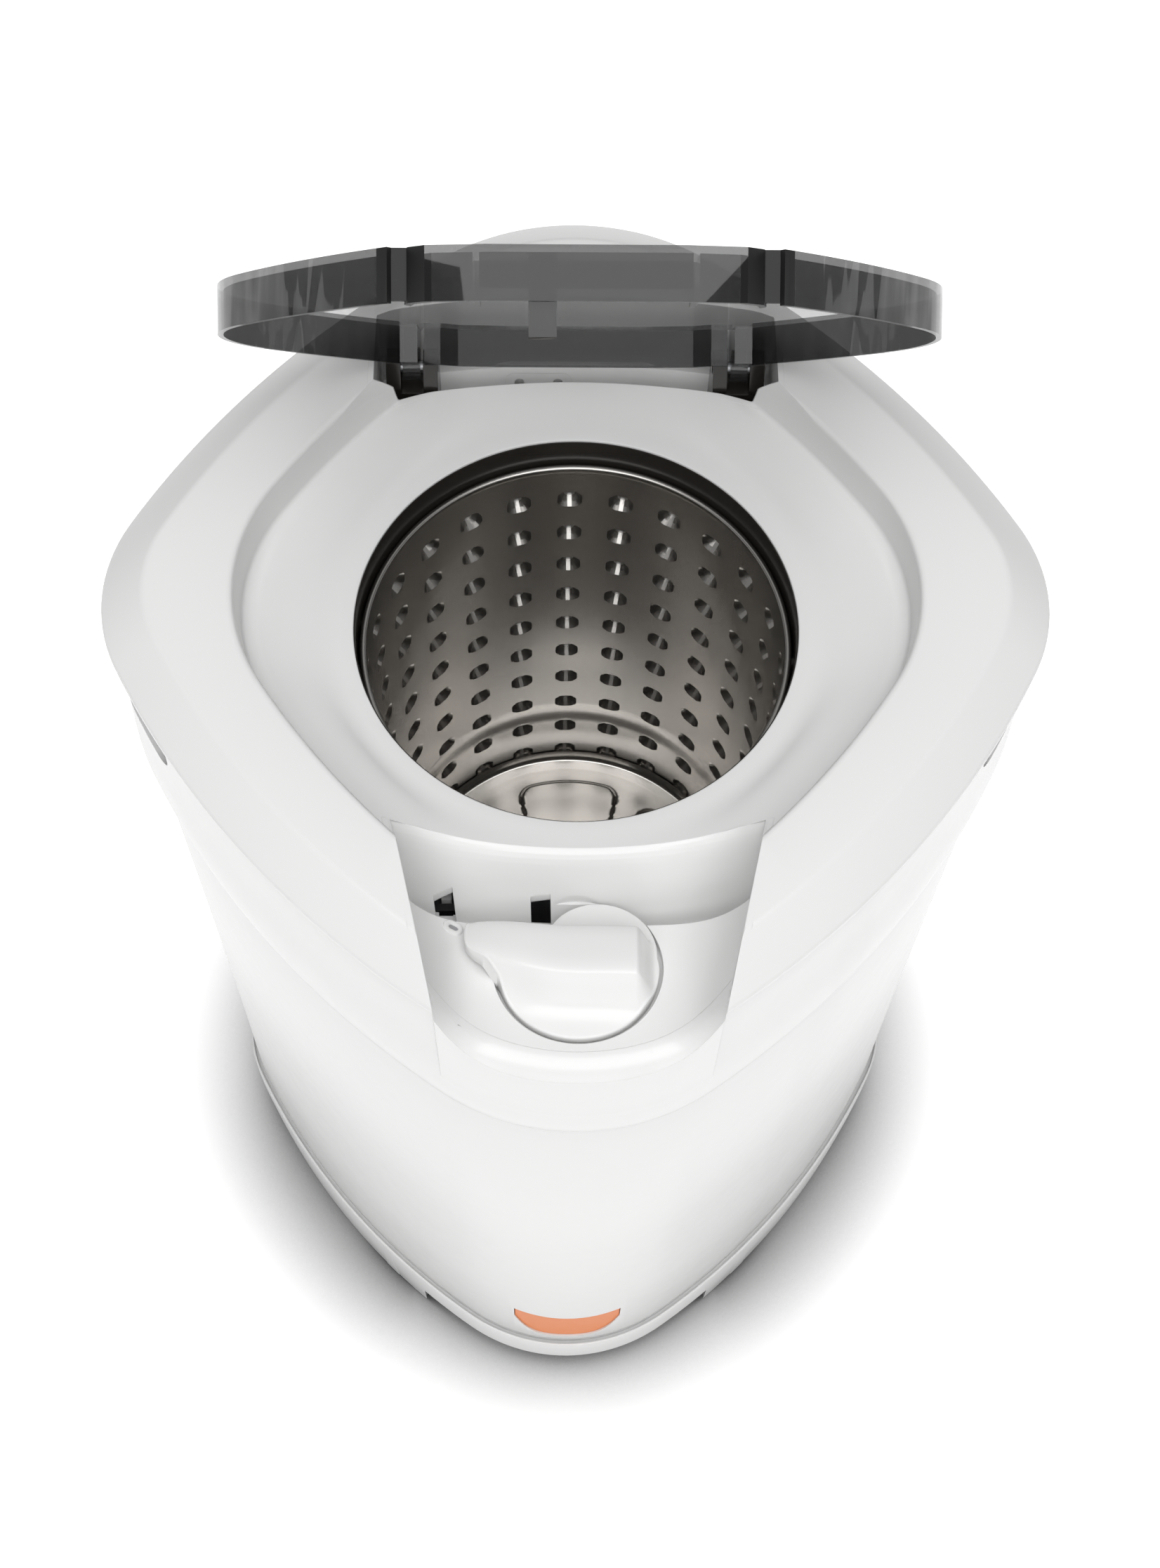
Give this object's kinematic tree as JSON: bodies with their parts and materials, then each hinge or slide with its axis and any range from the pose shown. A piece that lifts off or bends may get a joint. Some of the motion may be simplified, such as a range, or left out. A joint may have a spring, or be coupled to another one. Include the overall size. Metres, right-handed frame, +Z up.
{
  "type": "laundry spin dryer",
  "caption": "Top-loading laundry spin dryer with a rounded diamond body, open smoked lid, timer knob and perforated steel drum on a rubber-mounted motor.",
  "frame": {"origin": "centre of the bounding box on the floor, on the drum's axis", "axes": "+Z up along the drum axis, -Y towards the front corner with the timer knob, +X to the right seen from the front"},
  "size_m": [0.467, 0.476, 0.9146],
  "materials": {
    "white_plastic": "glossy moulded white plastic",
    "black_plastic": "glossy black plastic",
    "dark_plastic": "matt dark plastic",
    "grey_plastic": "matt grey plastic",
    "smoke": "clear smoke-grey plastic",
    "orange": "glossy orange plastic",
    "stainless": "drawn stainless steel",
    "steel": "zinc-plated steel",
    "motor_paint": "dark motor enamel",
    "rubber": "matt black rubber"
  },
  "bodies": {
    "cabinet": {"top_panel": "white_plastic", "control_panel": "white_plastic", "collar": "white_plastic", "body_shell": "white_plastic", "base": "white_plastic", "badge_plate": "orange", "splash_ring": "black_plastic", "hinge_block_left": "black_plastic", "hinge_block_right": "black_plastic", "cable_gland": "black_plastic", "outer_tub": "grey_plastic", "drain_outlet": "grey_plastic", "timer_switch": "dark_plastic", "interlock_switch": "dark_plastic", "motor_bracket": "steel", "hinge_pin_left": "steel", "hinge_pin_right": "steel", "motor_capacitor": "steel", "motor_housing": "motor_paint", "suspension_mount_1": "rubber", "suspension_mount_2": "rubber", "suspension_mount_3": "rubber", "foot_front_left": "rubber", "foot_front_right": "rubber", "foot_rear_right": "rubber", "foot_rear_left": "rubber"},
    "lid": {"lid": "smoke"},
    "timer_knob": {"timer_knob": "white_plastic", "timer_shaft": "steel"},
    "drum": {"drum_wall": "stainless", "drum_rim": "stainless", "drum_floor": "stainless", "drum_hub": "steel", "motor_shaft": "steel"},
    "interlock_plunger": {"interlock_plunger": "white_plastic"}
  },
  "joints": [
    {"name": "lid_hinge", "type": "hinge", "parent": "cabinet", "child": "lid", "pos_m": [0, 0.147, 0.657], "axis": [-1, 0, 0], "range_deg": [-56.5, 0]},
    {"name": "timer_turn", "type": "hinge", "parent": "cabinet", "child": "timer_knob", "pos_m": [0, -0.181, 0.6247], "axis": [0, 0.1392, 0.9903], "range_deg": [0, 200]},
    {"name": "drum_spin", "type": "hinge", "parent": "cabinet", "child": "drum", "pos_m": [0, 0, 0.3], "axis": [0, 0, 1], "continuous": true},
    {"name": "plunger_press", "type": "slide", "parent": "cabinet", "child": "interlock_plunger", "axis": [0, 0, -1], "range_m": [0, 0.003], "stiffness_N_per_m": 150}
  ]
}
